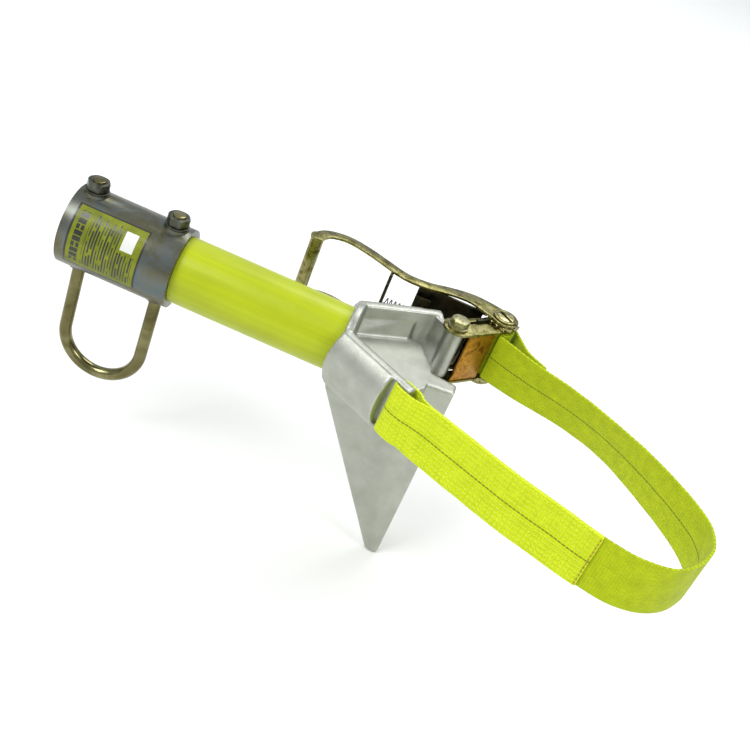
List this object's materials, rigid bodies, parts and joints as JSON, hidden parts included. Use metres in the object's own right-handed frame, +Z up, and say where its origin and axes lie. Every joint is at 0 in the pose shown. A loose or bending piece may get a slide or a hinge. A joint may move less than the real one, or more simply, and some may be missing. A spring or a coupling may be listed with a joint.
{
  "type": "strap-on pole davit arm",
  "caption": "Insulated pole arm with a U-bolt at its head and a cast saddle with a spur, held on a pole or trunk by a sewn ratchet strap.",
  "frame": {"origin": "on the tube's axis, where the saddle's spur meets the pole", "axes": "+X along the arm towards the pole, +Z up the pole, so that the spur points down"},
  "size_m": [0.6191, 0.2896, 0.2655],
  "materials": {
    "fibreglass": "gloss",
    "core_foam": "matte",
    "grey_zinc": "satin",
    "printed_label": "satin",
    "ubolt_zinc": "satin",
    "cast_aluminium": "as cast",
    "webbing": "woven",
    "yellow_zinc": "satin",
    "orange_zinc": "satin",
    "dark_zinc": "satin",
    "spring_wire": "bright"
  },
  "bodies": {
    "pole_arm": {"fibreglass_tube": "fibreglass", "foam_core": "core_foam", "head_sleeve": "grey_zinc", "head_end_plug": "grey_zinc", "label_plate": "printed_label", "u_bolt": "ubolt_zinc", "u_bolt_washers": "grey_zinc", "u_bolt_nuts": "grey_zinc", "saddle_casting": "cast_aluminium", "strap_eye": "webbing", "strap_loop": "webbing", "strap_ratchet_end": "webbing", "strap_tail": "webbing", "anchor_bolt": "yellow_zinc", "anchor_nut": "yellow_zinc", "anchor_washers": "yellow_zinc"},
    "ratchet_base": {"ratchet_frame": "yellow_zinc", "frame_base_plate": "orange_zinc", "lock_pawl_spring": "spring_wire"},
    "spool": {"spool_halves": "yellow_zinc", "ratchet_wheels": "yellow_zinc", "spool_clips": "yellow_zinc", "webbing_roll": "webbing"},
    "handle": {"handle_arms": "yellow_zinc", "handle_grip": "yellow_zinc", "handle_cross_web": "dark_zinc", "drive_pawl_spring": "spring_wire"},
    "drive_pawl": {"drive_pawl": "orange_zinc", "drive_pawl_tab": "orange_zinc"},
    "lock_pawl": {"lock_pawl": "yellow_zinc"}
  },
  "joints": [
    {"name": "anchor_swivel", "type": "hinge", "parent": "pole_arm", "child": "ratchet_base", "pos_m": [-0.02, 0.056, 0], "axis": [0, 0, 1], "range_deg": [-6, 6], "deforming": ["strap_ratchet_end", "strap_tail"]},
    {"name": "spool_turn", "type": "hinge", "parent": "ratchet_base", "child": "spool", "pos_m": [0.02, 0.098, 0], "axis": [0, 0, 1], "continuous": true},
    {"name": "handle_swing", "type": "hinge", "parent": "ratchet_base", "child": "handle", "pos_m": [0.02, 0.098, 0], "axis": [0, 0, -1], "range_deg": [-5, 125]},
    {"name": "drive_pawl_pull", "type": "slide", "parent": "handle", "child": "drive_pawl", "axis": [-1, 0, 0], "range_m": [0, 0.006], "stiffness_N_per_m": 400, "springref_m": -0.01, "deforming": ["drive_pawl_spring"]},
    {"name": "lock_pawl_pull", "type": "slide", "parent": "ratchet_base", "child": "lock_pawl", "axis": [-0.6897, -0.7241, 0], "range_m": [0, 0.006], "stiffness_N_per_m": 400, "springref_m": -0.01, "deforming": ["lock_pawl_spring"]}
  ]
}
